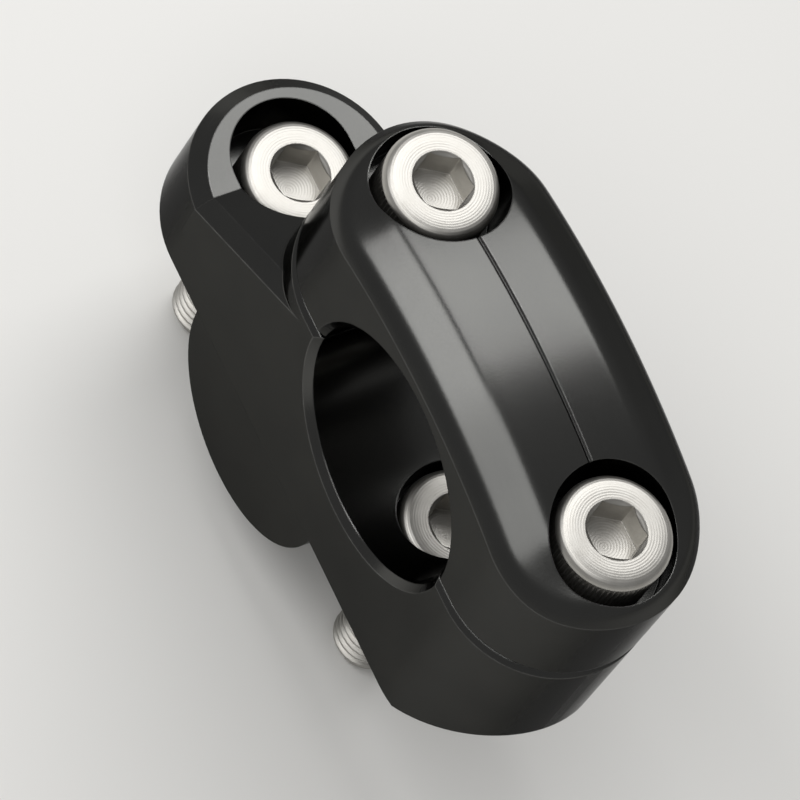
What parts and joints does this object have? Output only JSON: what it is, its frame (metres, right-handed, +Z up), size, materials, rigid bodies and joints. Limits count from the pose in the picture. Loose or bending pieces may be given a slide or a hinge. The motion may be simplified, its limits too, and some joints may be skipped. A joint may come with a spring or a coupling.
{
  "type": "motorcycle bar riser",
  "caption": "Offset handlebar riser: bored cradle with an arched cap, socket head clamp screws, and a half round saddle and bolts for the lower holder.",
  "frame": {"origin": "on the axis of the handlebar bore, halfway through the clamp", "axes": "+X along the handlebar, to the rider's right; +Y towards the front of the motorcycle; +Z up, square to the base plane"},
  "size_m": [0.025, 0.078, 0.0705],
  "materials": {
    "riser": "glossy black anodised",
    "cap": "glossy black anodised",
    "screws": "bright stainless",
    "bolts": "bright stainless"
  },
  "bodies": {
    "root": {"riser_body": "riser", "top_clamp": "cap", "clamp_screw_front": "screws", "clamp_screw_rear": "screws", "base_bolt_front": "bolts", "base_bolt_rear": "bolts"}
  },
  "joints": []
}
